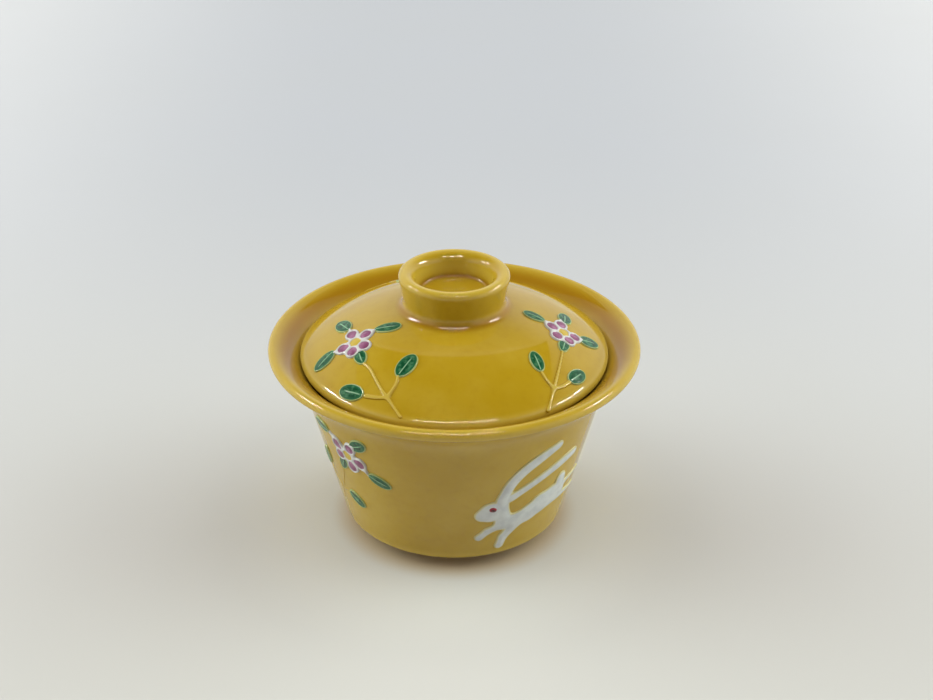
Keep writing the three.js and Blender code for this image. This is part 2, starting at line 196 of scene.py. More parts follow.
FRONT_ACROSS, FRONT_DEPTH = (0.45, 0.75), (0.35, 0.6)
WALL_FADE = (0.48, 0.74)
BACK_FADE = (-0.75, 0.25)
SEEING_RAYS = ("Camera", "Glossy", "Transmission")


def paint_box():
    world = bpy.data.worlds.new("photo_box")
    bpy.context.scene.world = world
    wire = blank_tree(world)
    x, y, z = wire.make("ShaderNodeTexCoord", out="Generated").split()
    above = z.math("MAXIMUM", z, ROOF_LOWEST)
    roof_x, roof_y = x / above, y / above
    behind = roof_y - roof_x * roof_x * ROOF_BEND - ROOF_BACK_EDGE
    roof = abs(roof_x).within(ROOF_HALF_WIDTH - ROOF_SOFT, ROOF_HALF_WIDTH + ROOF_SOFT)
    roof = roof * behind.within(-ROOF_SOFT, ROOF_SOFT) * roof_y.clear_of(*ROOF_FRONT_EDGE)
    bar = abs(behind).within(BAR_HALF - BAR_SOFT, BAR_HALF) * abs(roof_x).within(*BAR_ENDS)
    side = abs(x).clear_of(*SIDE_ACROSS) * y.clear_of(*SIDE_DEPTH)
    front = (0 - y).clear_of(*FRONT_DEPTH) * abs(x).within(*FRONT_ACROSS)
    wall = z.clear_of(*WALL_FADE).mix(WALL_TONE, WALL_HIGH)
    box = bar.mix(roof.mix(front.mix(wall, FRONT_TONE), ROOF_TONE), BAR_TONE)
    walls = LIGHT_FRONT + (LIGHT_BACK - LIGHT_FRONT) * y.clear_of(*BACK_FADE)
    walls = walls * (1 - side) + LIGHT_SIDE * side
    strength = walls * (1 - roof) + LIGHT_TOP * roof
    seen = strongest([wire.make("ShaderNodeLightPath", out=f"Is {ray} Ray") for ray in SEEING_RAYS])
    tone = seen.mix(side.mix(LIGHT_TONE, SIDE_TONE), box)
    level = seen + (1 - seen) * strength
    light = wire.make("ShaderNodeBackground", {}, {"Color": tone, "Strength": level})
    wire.make("ShaderNodeOutputWorld", {}, {"Surface": light})
    return world


print("world:", paint_box().name)

# %% [markdown]
# ## The lamp strips
# Thin lamps along the front and the sides of the roof draw fine bright lines on the lip, the knob and the
# lid's edge. As lamps for everything they would add hard shadows, so they are kept to reflections.

# %% Hang the lamp strips
STRIP_HEIGHT = 1.15
STRIP_RADIANCE = 260
FRONT_STRIP, FRONT_LENGTH, FRONT_WIDTH = -0.6, 1.0, 0.01
SIDE_STRIP, SIDE_MIDDLE, SIDE_LENGTH, SIDE_WIDTH = 1.62, 0.3, 0.9, 0.04


def strip_lamp(name, place, size):
    lamp = bpy.data.lights.new(name, "AREA")
    lamp.shape = "RECTANGLE"
    lamp.size, lamp.size_y = size
    lamp.energy = STRIP_RADIANCE * pi * size[0] * size[1]
    lamp.color = LIGHT_TONE[:3]
    strip = bpy.data.objects.new(name, lamp)
    strip.location = (*place, STRIP_HEIGHT)
    strip.visible_diffuse = False
    bpy.context.scene.collection.objects.link(strip)


strip_lamp("front_strip", (0, FRONT_STRIP), (FRONT_LENGTH, FRONT_WIDTH))
for name, side in (("left_strip", -1), ("right_strip", 1)):
    strip_lamp(name, (side * SIDE_STRIP, SIDE_MIDDLE), (SIDE_WIDTH, SIDE_LENGTH))
print("three strips at", STRIP_HEIGHT, "m")

# %% [markdown]
# ## The floor
# The real floor is a sheet of pale paper. Here it is darker and cooler far off, and paler to the sides as
# painted light from the box's bright side walls. A ring of painted light stands for the light the sheet
# throws back into the shadow round the bowl, and right under the bowl a ring of painted warm shade stands
# for the yellow light that the glaze throws down. One plain tone would do for a floor, but a few soft steps
# over the place on the sheet bring those out.

# %% Lay the floor
FLOOR_HALF = 4
FLOOR_NEAR = colour(0.60, 0.575, 0.55)
FLOOR_FAR = colour(0.50, 0.497, 0.538)
# Painted light: the sheet is paler towards the box's bright side walls.
FLOOR_PAINTED_SIDE_LIGHT = colour(0.70, 0.68, 0.705)
# Painted light: a paler ring that lifts the shadow round the bowl.
FLOOR_PAINTED_LIGHT = colour(0.78, 0.75, 0.71)
# Painted shade: a darker, warm ring right under the bowl, for the glaze's yellow light thrown down.
FLOOR_PAINTED_WARM_SHADE = colour(0.54, 0.37, 0.17)
FLOOR_CLOUD = colour(0.5, 0.48, 0.44)
FLOOR_ROUGHNESS = 0.75
FAR_FADE, PAINTED_SIDE_FADE, PAINTED_SIDE_NEAR_SHARE = (-0.15, 0.35), (0.05, 0.4), 0.4
PAINTED_LIGHT_FADE, PAINTED_LIGHT_SHARE = (0.045, 0.08), 0.4
WARM_SHADE_FADE, WARM_SHADE_SHARE = (0.032, 0.041), 0.7
PAPER_LUMPS, PAPER_STEP, PAPER_SHARE = 9, (0.3, 0.8), 0.06


def new_finish(name):
    """A blank material, and the place on the piece that its finish goes by."""
    material = bpy.data.materials.new(name)
    return material, blank_tree(material).make("ShaderNodeTexCoord", out="Object")


def shade(wire, sockets):
    """Ends a material in one Principled shader with these sockets."""
    shader = wire.make("ShaderNodeBsdfPrincipled", {}, sockets)
    wire.make("ShaderNodeOutputMaterial", {}, {0: shader})


def floor_paper():
    paper, place = new_finish("floor_paper")
    across, depth = place.split("XY")
    radius = (across * across + depth * depth) ** 0.5
    far = depth.clear_of(*FAR_FADE)
    sheet = far.mix(FLOOR_NEAR, FLOOR_FAR)
    # Painted light: paler towards the bright side walls, less so near the bowl than far off.
    painted_side_light = abs(across).clear_of(*PAINTED_SIDE_FADE) * (PAINTED_SIDE_NEAR_SHARE + far * (1 - PAINTED_SIDE_NEAR_SHARE))
    sheet = painted_side_light.mix(sheet, FLOOR_PAINTED_SIDE_LIGHT)
    # Painted light: a paler ring round the bowl, for light thrown back into its shadow.
    sheet = radius.within(*PAINTED_LIGHT_FADE).mix(sheet, FLOOR_PAINTED_LIGHT, PAINTED_LIGHT_SHARE)
    # Painted shade: darker and warm right under the bowl, for the shadow there and the glaze's yellow
    # light.
    sheet = radius.within(*WARM_SHADE_FADE).mix(sheet, FLOOR_PAINTED_WARM_SHADE, WARM_SHADE_SHARE)
    cloud = place.noise(PAPER_LUMPS, 3).clear_of(*PAPER_STEP)
    sheet = cloud.mix(sheet, FLOOR_CLOUD, PAPER_SHARE)
    shade(place, {"Base Color": sheet, "Roughness": FLOOR_ROUGHNESS, "Specular IOR Level": 0})
    return paper


def lay_floor():
    sheet = bmesh.new()
    bmesh.ops.create_grid(sheet, x_segments=1, y_segments=1, size=FLOOR_HALF)
    mesh = bpy.data.meshes.new("floor")
    sheet.to_mesh(mesh)
    sheet.free()
    mesh.materials.append(floor_paper())
    floor = bpy.data.objects.new("floor", mesh)
    bpy.context.scene.collection.objects.link(floor)


lay_floor()
print("floor", 2 * FLOOR_HALF, "m across")

# %% [markdown]
# ## The yellow glaze
# The glaze is a thick, clear, iron-yellow glass. It breaks thin and paler over the crests, pools darker
# where the clay turns inwards, and has a faint ripple and a few dark specks. The same paler tone is also
# laid as painted light inside the knob's bore and in the gap where the lid's edge meets the bowl's flare,
# where shade falls. One material could be painted by hand, but the body is turned, so radius and height say
# where each of those belongs.

# %% Mix the glaze
GLAZE = colour(0.44, 0.268, 0.0085)
GLAZE_THIN_AND_LIT = colour(0.58, 0.40, 0.055)
GLAZE_POOLED = colour(0.34, 0.165, 0.006)
SPECK = colour(0.10, 0.055, 0.01)
GLAZE_IOR, GLAZE_ROUGHNESS, CLOUD_ROUGHNESS = 1.58, 0.02, 0.03
CLOUD_LUMPS, FINE_LUMPS, RIPPLE_LUMPS = 55, 420, 38
CLOUD_STEP, FINE_STEP = (0.3, 0.75), (0.45, 0.8)
CLOUD_SHARE, FINE_SHARE, THIN_AND_LIT_SHARE, POOLED_SHARE, SPECK_SHARE = 0.35, 0.16, 0.75, 0.95, 0.8
SPECK_CELL, SPECK_SIZE, SPECK_CORE, SPECK_CHANCE, SPECK_SOFT = 9, 0.22, 0.6, 0.16, 0.01
RIPPLE_STRENGTH, RIPPLE_DEPTH, FINE_RIPPLE = 0.06, 1.2, 0.02


def ring_near(place, spot, reach):
    """1 on a ring round the axis, given as (radius, height) in mm, fading to 0 at reach mm from it."""
    x, y, z = place.split()
    radius = (x * x + y * y) ** 0.5
    away = ((radius - spot[0] * MM) ** 2 + (z - spot[1] * MM) ** 2) ** 0.5
    return away.within(0, reach * MM)


def specks(place):
    """Small round marks, one in some of the cells of a coarse Voronoi pattern."""
    sockets = {"Vector": place, "Scale": 1 / (SPECK_CELL * MM)}
    near = place.make("ShaderNodeTexVoronoi", {}, sockets, out="Distance")
    draw = place.make("ShaderNodeTexVoronoi", {}, sockets, out="Color")
    red = place.make("ShaderNodeSeparateColor", {}, {0: draw})
    chosen = red.clear_of(1 - SPECK_CHANCE, 1 - SPECK_CHANCE + SPECK_SOFT)
    return near.within(SPECK_CORE * SPECK_SIZE / SPECK_CELL, SPECK_SIZE / SPECK_CELL) * chosen


def bump(height, strength, depth):
    """Shallow relief that is depth mm deep at full height."""
    sockets = {"Strength": strength, "Distance": depth * MM, "Height": height}
    return height.make("ShaderNodeBump", {}, sockets)


def yellow_glaze(name, thin_and_lit, pooled):
    glaze, place = new_finish(name)
    cloud = place.noise(CLOUD_LUMPS, 4)
    fine = place.noise(FINE_LUMPS, 2)
    tone = cloud.clear_of(*CLOUD_STEP).mix(GLAZE, GLAZE_THIN_AND_LIT, CLOUD_SHARE)
    tone = fine.clear_of(*FINE_STEP).mix(tone, GLAZE_POOLED, FINE_SHARE)
    # Paler rings: thin glaze over crests and edges, and painted light in the knob's bore and the lid's gap.
    tone = strongest([ring_near(place, *ring) for ring in thin_and_lit]).mix(tone, GLAZE_THIN_AND_LIT, THIN_AND_LIT_SHARE)
    tone = strongest([ring_near(place, *ring) for ring in pooled]).mix(tone, GLAZE_POOLED, POOLED_SHARE)
    tone = specks(place).mix(tone, SPECK, SPECK_SHARE)
    ripple = place.noise(RIPPLE_LUMPS, 1) + fine * FINE_RIPPLE
    sockets = {
        "Base Color": tone,
        "Roughness": GLAZE_ROUGHNESS + cloud * CLOUD_ROUGHNESS,
        "IOR": GLAZE_IOR,
        "Normal": bump(ripple, RIPPLE_STRENGTH, RIPPLE_DEPTH),
    }
    shade(place, sockets)
    return glaze


print("glaze colour", GLAZE[:3])

# %% [markdown]
# ## Turning on the wheel
# A turned body is one profile spun round the axis. The profile could be typed as a list of points, but a
# maker draws it as lines and arcs, so a small class grows it from one vertex: extruding the vertex draws a
# line, and spinning it draws an arc.

# %% Draw and spin a profile
WHEEL_STEPS = 180
ARC_GRAIN, ARC_LEAST_STEPS = 0.55 * MM, 6
WELD_DISTANCE = 0.001 * MM


class Profile:
    """A line in the plane of radius (X) and height (Z), in mm, that is then spun into a body."""

    def __init__(self, radius, height):
        self.mesh = bmesh.new()
        self.tip = self.mesh.verts.new((radius * MM, 0, height * MM))

    def line(self, radius, height, steps=1):
        start, end = self.tip.co.copy(), Vector((radius * MM, 0, height * MM))
        for step in range(1, steps + 1):
            self.tip = bmesh.ops.extrude_vert_indiv(self.mesh, verts=[self.tip])["verts"][0]
            self.tip.co = start.lerp(end, step / steps)

    def arc(self, middle, turn):
        """Swings the tip round a middle, by an angle that grows from +X towards +Z."""
        centre = Vector((middle[0] * MM, 0, middle[1] * MM))
        steps = max(ARC_LEAST_STEPS, round(abs(turn) * (self.tip.co - centre).length / ARC_GRAIN))
        swung = bmesh.ops.spin(
            self.mesh, geom=[self.tip], cent=centre, axis=(0, -1, 0), angle=turn, steps=steps
        )
        self.tip = next(part for part in swung["geom_last"] if isinstance(part, bmesh.types.BMVert))

    def turned(self):
        body = self.mesh
        geom = body.verts[:] + body.edges[:]
        bmesh.ops.spin(
            body, geom=geom, cent=(0, 0, 0), axis=(0, 0, 1), angle=2 * pi, steps=WHEEL_STEPS, use_merge=True
        )
        bmesh.ops.remove_doubles(body, verts=body.verts, dist=WELD_DISTANCE)
        bmesh.ops.recalc_face_normals(body, faces=body.faces)
        return body


def as_piece(name, body, material, rider, slot, *nodes):
    for face in body.faces:
        face.smooth = True
    mesh = bpy.data.meshes.new(name)
    body.to_mesh(mesh)
    body.free()
    mesh.materials.append(material)
    piece = bpy.data.objects.new(name, mesh)
    bpy.context.scene.collection.objects.link(piece)
    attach(piece, rider)
    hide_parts(*nodes)
    return piece


print("wheel steps", WHEEL_STEPS)

# %% [markdown]
# ## The bowl
# A straight wall leans out from a rounded base and flares into a rounded lip. The sizes are those of the
# solid, and the lip's roundness and the inside corner are finer than the solid's facets.

# %% Turn the bowl
WALL_LEAN = radians(14.8)
WALL = 3.4
BASE_UNDERSIDE, BASE_ROUND = 4, 3
BASE_FLAT = 32.56
FLARE_MIDDLE, FLARE_RADIUS = (63.35, 44.07), 19
LIP_MIDDLE = (55.8, 61.5)
FLOOR_HEIGHT, FLOOR_ROUND = 9, 8
wall_up = Vector((sin(WALL_LEAN), cos(WALL_LEAN)))
wall_out = Vector((cos(WALL_LEAN), -sin(WALL_LEAN)))
wall_foot = Vector((BASE_FLAT, BASE_UNDERSIDE + BASE_ROUND)) + BASE_ROUND * wall_out
wall_top = Vector(FLARE_MIDDLE) - (FLARE_RADIUS - WALL / 2) * wall_out
flare_end = atan2(LIP_MIDDLE[1] - FLARE_MIDDLE[1], LIP_MIDDLE[0] - FLARE_MIDDLE[0])
flare_turn = pi - WALL_LEAN - flare_end


def turn_bowl():
    profile = Profile(0, BASE_UNDERSIDE)
    profile.line(BASE_FLAT, BASE_UNDERSIDE, steps=12)
    profile.arc((BASE_FLAT, BASE_UNDERSIDE + BASE_ROUND), pi / 2 - WALL_LEAN)
    profile.line(*wall_top, steps=24)
    profile.arc(FLARE_MIDDLE, -flare_turn)
    profile.arc(LIP_MIDDLE, pi)
    profile.arc(FLARE_MIDDLE, flare_turn)
    inner_top = wall_top - WALL * wall_out
    drop = (inner_top.y - FLOOR_HEIGHT - FLOOR_ROUND * (1 - sin(WALL_LEAN))) / wall_up.y
    inner_foot = inner_top - drop * wall_up
    profile.line(*inner_foot, steps=20)
    profile.arc(inner_foot - FLOOR_ROUND * wall_out, WALL_LEAN - pi / 2)
    profile.line(0, FLOOR_HEIGHT, steps=12)
    return profile.turned()


bowl_glaze = yellow_glaze(
    "bowl_glaze",
    # The lip and the base edge are paler where the glaze breaks thin; the ring on the flare is painted
    # light in the gap under the lid's edge.
    thin_and_lit=[(LIP_MIDDLE, 3.2), ((48.2, 57.8), 2.6), ((35.2, 5.2), 3)],
    pooled=[((30, 9), 6), ((26.5, 4), 3), ((51.4, 61), 5)],
)
bowl = as_piece("bowl_body_glazed", turn_bowl(), bowl_glaze, "bowl", "yellow_glaze", "bowl_body")
print("bowl:", len(bowl.data.polygons), "faces")

# %% [markdown]
# ## The foot ring
# The foot is the one bare place: its base is wiped clean so that it doesn't stick to the kiln shelf, and
# the glaze stops in a soft, slightly uneven line just above. A ring has no pole, so its profile is a
# closed loop.

# %% Turn the foot ring
FOOT_OUTER, FOOT_INNER, FOOT_ROUND = 26.06, 21.56, 0.8
WIPE_LINE, WIPE_SOFT, WIPE_WANDER = 1.3, 0.15, 1.2
CLAY = colour(0.60, 0.50, 0.36)
CLAY_DARK = colour(0.42, 0.32, 0.2)
CLAY_ROUGHNESS, GLAZED_ROUGHNESS = 0.8, 0.08
WANDER_LUMPS, GRIT_LUMPS, GRIT_STEP, GRIT_SHARE = 130, 1500, (0.35, 0.75), 0.5
GRIT_STRENGTH, GRIT_DEPTH = 0.3, 0.2


def turn_foot():
    profile = Profile(FOOT_INNER, BASE_UNDERSIDE)
    profile.line(FOOT_INNER, FOOT_ROUND, steps=4)
    profile.arc((FOOT_INNER + FOOT_ROUND, FOOT_ROUND), pi / 2)
    profile.line(FOOT_OUTER - FOOT_ROUND, 0, steps=4)
    profile.arc((FOOT_OUTER - FOOT_ROUND, FOOT_ROUND), pi / 2)
    profile.line(FOOT_OUTER, BASE_UNDERSIDE, steps=4)
    profile.line(FOOT_INNER, BASE_UNDERSIDE, steps=4)
    return profile.turned()


def wiped_foot():
    finish, place = new_finish("wiped_foot")
    (height,) = place.split("Z")
    line = height + (place.noise(WANDER_LUMPS, 3) - 0.5) * (WIPE_WANDER * MM)
    glazed = line.clear_of((WIPE_LINE - WIPE_SOFT) * MM, (WIPE_LINE + WIPE_SOFT) * MM)
    grit = place.noise(GRIT_LUMPS, 3)
    clay = grit.clear_of(*GRIT_STEP).mix(CLAY, CLAY_DARK, GRIT_SHARE)
    sockets = {
        "Base Color": glazed.mix(clay, GLAZE),
        "Roughness": CLAY_ROUGHNESS - glazed * (CLAY_ROUGHNESS - GLAZED_ROUGHNESS),
        "Normal": bump(grit * (1 - glazed), GRIT_STRENGTH, GRIT_DEPTH),
    }
    shade(place, sockets)
    return finish


foot = as_piece("foot_ring_wiped", turn_foot(), wiped_foot(), "bowl", "bare_clay", "foot_ring")
print("foot ring:", len(foot.data.polygons), "faces")

# %% [markdown]
# ## The lid
# A shallow dome with a rounded edge carries a ring knob, and the join between them is a soft fillet of
# slip. The solids keep dome and knob apart; fired together they are one skin, so one profile makes both
# here, with the knob's recess as a bell that runs down to a flat floor.

# %% Turn the lid
LID_EDGE, LID_WALL = (45.4, 58.92), 4.6
DOME_MIDDLE, DOME_RADIUS = -2.79, 76.6
LID_SKIN = DOME_RADIUS + LID_WALL / 2
KNOB_WAIST, KNOB_RADIUS, KNOB_FILLET = 15.6, 17, 3
KNOB_TOP, KNOB_CREST, KNOB_BELL = 86.03, 1.7, 3.4
BORE_LEAN = radians(14)
PAD_HEIGHT, PAD_FILLET = 78.62, 1.2


def turn_lid():
    edge_angle = asin(LID_EDGE[0] / DOME_RADIUS)
    profile = Profile(0, DOME_MIDDLE + DOME_RADIUS - LID_WALL / 2)
    profile.arc((0, DOME_MIDDLE), -edge_angle)
    profile.arc(LID_EDGE, pi)
    hollow_radius = KNOB_WAIST + KNOB_FILLET
    hollow_angle = asin(hollow_radius / (LID_SKIN + KNOB_FILLET))
    hollow = (hollow_radius, DOME_MIDDLE + (LID_SKIN + KNOB_FILLET) * cos(hollow_angle))
    profile.arc((0, DOME_MIDDLE), edge_angle - hollow_angle)
    crest = (KNOB_RADIUS - KNOB_CREST, KNOB_TOP - KNOB_CREST)
    rise = atan2(KNOB_RADIUS - KNOB_WAIST, crest[1] - hollow[1])
    profile.arc(hollow, hollow_angle - rise - pi / 2)
    profile.line(crest[0] + KNOB_CREST * cos(rise), crest[1] - KNOB_CREST * sin(rise), steps=8)
    profile.arc(crest, pi / 2 + rise)
    profile.arc((crest[0], KNOB_TOP - KNOB_BELL), pi / 2 - BORE_LEAN)
    bore_top = KNOB_TOP - KNOB_BELL * (1 - sin(BORE_LEAN))
    bore_foot = PAD_HEIGHT + PAD_FILLET * (1 - sin(BORE_LEAN))
    bore = crest[0] - KNOB_BELL * cos(BORE_LEAN) - (bore_top - bore_foot) * tan(BORE_LEAN)
    profile.line(bore, bore_foot, steps=5)
    profile.arc((bore - PAD_FILLET * cos(BORE_LEAN), PAD_HEIGHT + PAD_FILLET), BORE_LEAN - pi / 2)
    profile.line(0, PAD_HEIGHT, steps=8)
    return profile.turned()


lid_glaze = yellow_glaze(
    "lid_glaze",
    # The crest is paler where the glaze breaks thin, the knob's bore is painted light in its shade, and the
    # lid's edge is both thin glaze and painted light into its gap.
    thin_and_lit=[((15.4, 85.6), 2.4), ((12.2, 82), 3.4), ((47.2, 59.6), 2.6)],
    pooled=[((16.4, 75), 2.6), ((11, 79.2), 1.4)],
)
lid = as_piece("lid_glazed", turn_lid(), lid_glaze, "lid", "yellow_glaze", "lid_dome", "knob_ring")
lid_top = max(vert.co.z for vert in lid.data.vertices) / MM
print("lid:", len(lid.data.polygons), "faces, top", round(lid_top, 2), "mm")

# %% [markdown]
# ## Slip, drawn flat
# Trailed slip is a set of tapering strokes that run together while wet. Modelling each leaf and limb by
# hand would take many pieces, so a drawing is kept as strokes on flat paper: a fine grid is trimmed to
# their outline, its border is slid onto the line, and the depth inside the outline gives the height.

# %% Measure a drawing
BURIED = 0.25
CORNER_CUTS, CUT_SHARES = 2, (0.25, 0.75)


def strokes_of(*points):
    """Tapering strokes through points of (x, y, half width), in mm."""
    return list(zip(points, points[1:]))


def stroke_distance(x, y, stroke):
    """How far a point lies outside a tapering stroke with round ends; below 0 it lies inside."""
    (ax, ay, start), (bx, by, end) = stroke
    along_x, along_y = bx - ax, by - ay
    x, y = x - ax, y - ay
    square = along_x**2 + along_y**2
    aside = abs(x * along_y - y * along_x) / square
    along = (x * along_x + y * along_y) / square
    taper = start - end
    if taper**2 >= square:
        return min(hypot(x, y) - start, hypot(x - along_x, y - along_y) - end)
    lean = sqrt(square - taper**2)
    turn = lean * along - taper * aside
    if turn < 0:
        return sqrt(square * (aside**2 + along**2)) - start
    if turn > lean:
        return sqrt(square * (aside**2 + (along - 1) ** 2)) - end
    return lean * aside + taper * along - start


def soft_least(first, second, blend):
    """The lesser of two distances, rounded off where they are within blend of each other."""
    overlap = max(blend - abs(first - second), 0)
    return min(first, second) - overlap**2 / (4 * blend)


def eased(points):
    """The same path with its corners cut twice, as a hand would trail it."""
    for _ in range(CORNER_CUTS):
        cut = [points[0]]
        for start, end in zip(points, points[1:]):
            cut += [tuple(a + share * (b - a) for a, b in zip(start, end)) for share in CUT_SHARES]
        points = [*cut, points[-1]]
    return points


def run_together(strokes, blend):
    def distance(x, y):
        least = stroke_distance(x, y, strokes[0])
        for stroke in strokes[1:]:
            least = soft_least(least, stroke_distance(x, y, stroke), blend)
        return least

    return distance


leaf_test = run_together(strokes_of((-3, 0, 0.5), (0, 0, 2), (3, 0, 0.5)), 0.1)
print("leaf middle lies", round(-leaf_test(0, 0), 2), "mm inside its outline")

# %% Cut a drawing out of a grid
NUDGE_SHARE, SLIDES, LEAST_SLOPE = 0.1, 3, 0.25


def box_of(strokes):
    ends = [end for stroke in strokes for end in stroke]
    low = Vector((min(x - r for x, y, r in ends), min(y - r for x, y, r in ends)))
    high = Vector((max(x + r for x, y, r in ends), max(y + r for x, y, r in ends)))
    return low, high


def cut_out(strokes, distance, grain):
    """A flat sheet in mm, trimmed to a drawing, that keeps each point's depth inside the outline."""
    low, high = box_of(strokes)
    size, middle = high - low + Vector((2 * grain, 2 * grain)), (low + high) / 2
    sheet = bmesh.new()
    columns, rows = (max(2, round(side / grain)) for side in size)
    bmesh.ops.create_grid(sheet, x_segments=columns, y_segments=rows, size=0.5)
    bmesh.ops.scale(sheet, vec=(*size, 1), verts=sheet.verts)
    bmesh.ops.translate(sheet, vec=(*middle, 0), verts=sheet.verts)
    inset = sheet.verts.layers.float.new("inset")
    for vert in sheet.verts:
        vert[inset] = -distance(vert.co.x, vert.co.y)
    outside = [face for face in sheet.faces if all(vert[inset] < 0 for vert in face.verts)]
    bmesh.ops.delete(sheet, geom=outside, context="FACES")
    for vert in sheet.verts:
        if vert[inset] < 0:
            slide_to_outline(vert, distance, grain)
            vert[inset] = 0
    return sheet


def slide_to_outline(vert, distance, grain):
    """A few short moves down the slope of the distance bring a border point onto the outline."""
    nudge = NUDGE_SHARE * grain
    for _ in range(SLIDES):
        x, y = vert.co.x, vert.co.y
        away = distance(x, y)
        slope = Vector((distance(x + nudge, y) - away, distance(x, y + nudge) - away, 0)) / nudge
        vert.co -= slope * (away / max(slope.length_squared, LEAST_SLOPE))


def raise_slip(sheet, relief):
    """Gives a cut-out its body: the sheet is sunk under the skin, and a copy of it lifted to the relief."""
    inset = sheet.verts.layers.float["inset"]
    lifted = bmesh.ops.extrude_face_region(sheet, geom=sheet.faces[:])["geom"]
    tops = [part for part in lifted if isinstance(part, bmesh.types.BMVert)]
    bmesh.ops.translate(sheet, vec=(0, 0, -BURIED), verts=list(set(sheet.verts) - set(tops)))
    for vert in tops:
        vert.co.z = relief(vert.co.x, vert.co.y, vert[inset])
    return sheet


def thread_relief(inset, thread, crest, fill, crown, spread):
    """Height above the skin: a half-round thread along the outline, then a fill that crowns inwards."""
    bead = crest * sqrt(max(0, 1 - (2 * min(inset / thread, 1) - 1) ** 2))
    if inset < thread / 2:
        return bead
    return max(bead, fill + crown * (1 - exp(-max(inset - thread, 0) / spread)))


def domed(inset, half, height):
    """Height above the skin of a bead that is half mm from its outline to its crest."""
    return height * sqrt(max(0, 1 - (1 - min(inset / half, 1)) ** 2))


print("thread crest", thread_relief(0.25, thread=0.5, crest=0.55, fill=0.4, crown=0.1, spread=1), "mm")

# %% [markdown]
# ## Laying the drawing on the skin
# A flat drawing is wrapped on the lid's ball-shaped skin, or on the wall's cone, which unrolls flat.
# Blender's Shrinkwrap could press it on from outside, but the two shapes are known exactly, so each point
# is carried over by its own short sum and keeps its true height above the glaze.

# %% Wrap the skins
LID_SPRAY_TILT = radians(26.84)
SPRAY_CLIMB, SPRAY_SCALE = 28.28, 0.982
HARE_CLIMB, HARE_SCALE = 21.1, 0.945


def lid_skin(turn_degrees):
    """The skin of the lid round a point that lies LID_SPRAY_TILT from the axis."""
    turn, tilt = radians(turn_degrees), LID_SPRAY_TILT
    around = Vector((-sin(turn), cos(turn), 0))
    out = Vector((cos(turn) * sin(tilt), sin(turn) * sin(tilt), cos(tilt)))
    up = out.cross(around)

    def place(x, y, height):
        angle = hypot(x, y) / LID_SKIN
        side = (around * x + up * y).normalized()
        point = (out * cos(angle) + side * sin(angle)) * (LID_SKIN + height)
        return Vector((point.x, point.y, point.z + DOME_MIDDLE)) * MM

    return place


def wall_skin(turn_degrees, climb, scale):
    """The wall's cone, unrolled round a point that lies some mm up the slope."""
    turn = radians(turn_degrees)
    middle = wall_foot + wall_up * climb
    slant = middle.x / sin(WALL_LEAN)

    def place(x, y, height):
        across, along = x * scale, slant + y * scale
        swing = turn + atan2(across, along) / sin(WALL_LEAN)
        point = middle + wall_up * (hypot(across, along) - slant) + wall_out * height
        return Vector((point.x * cos(swing), point.x * sin(swing), point.y)) * MM

    return place


def wrap(sheet, place, x=0, y=0, turn_degrees=0, lift=0):
    """Moves a flat piece to its place in the layout and carries it over to the skin."""
    turn = radians(turn_degrees)
    for vert in sheet.verts:
        along, across, height = vert.co
        flat_x = x + along * cos(turn) - across * sin(turn)
        flat_y = y + along * sin(turn) + across * cos(turn)
        vert.co = place(flat_x, flat_y, lift + height)
    bmesh.ops.recalc_face_normals(sheet, faces=sheet.faces)
    return sheet


print("lid spray starts", [round(side / MM, 1) for side in lid_skin(225)(0, 0, 0)], "mm")

# %% [markdown]
# ## Leaves
# Each leaf is a pool of green enamel inside a thin pale thread of slip, with a pale midrib down part of
# it. The enamel lies even beside the thread and is mottled dark and light on its crown. The depth inside
# the outline and the place across the leaf are kept on the mesh, so the paint follows the leaf.

# %% Paint the leaves
LEAF_THREAD, LEAF_THREAD_SOFT = 0.46, 0.2
LEAF_GREEN = colour(0.016, 0.120, 0.048)
LEAF_DARK = colour(0.004, 0.062, 0.022)
LEAF_LIGHT = colour(0.060, 0.195, 0.090)
LEAF_EDGE = colour(0.38, 0.42, 0.15)
LEAF_RIB = colour(0.26, 0.46, 0.27)
LEAF_LUMPS, LEAF_STEP = 650, (0.42, 0.72)
POOL_REACH, POOL_WANDER, POOL_SHARE = 0.9, 1.6, 0.85
RIB_HALF, RIB_START, RIB_END, RIB_SHARE = (0.1, 0.24), (-0.46, -0.4), (0.2, 0.38), 0.9
ENAMEL_IOR, ENAMEL_ROUGHNESS, UNEVEN_ROUGHNESS = 1.52, 0.09, 0.06
ENAMEL_LUMPS, ENAMEL_STRENGTH, ENAMEL_DEPTH = 700, 0.12, 0.15


def own_value(place, name):
    return place.make("ShaderNodeAttribute", {"attribute_name": name}, out="Fac")


def enamel_surface(place, tone, roughness=ENAMEL_ROUGHNESS):
    ripple = place.noise(ENAMEL_LUMPS, 2)
    sockets = {
        "Base Color": tone,
        "Roughness": roughness + ripple * UNEVEN_ROUGHNESS,
        "IOR": ENAMEL_IOR,
        "Normal": bump(ripple, ENAMEL_STRENGTH, ENAMEL_DEPTH),
    }
    shade(place, sockets)


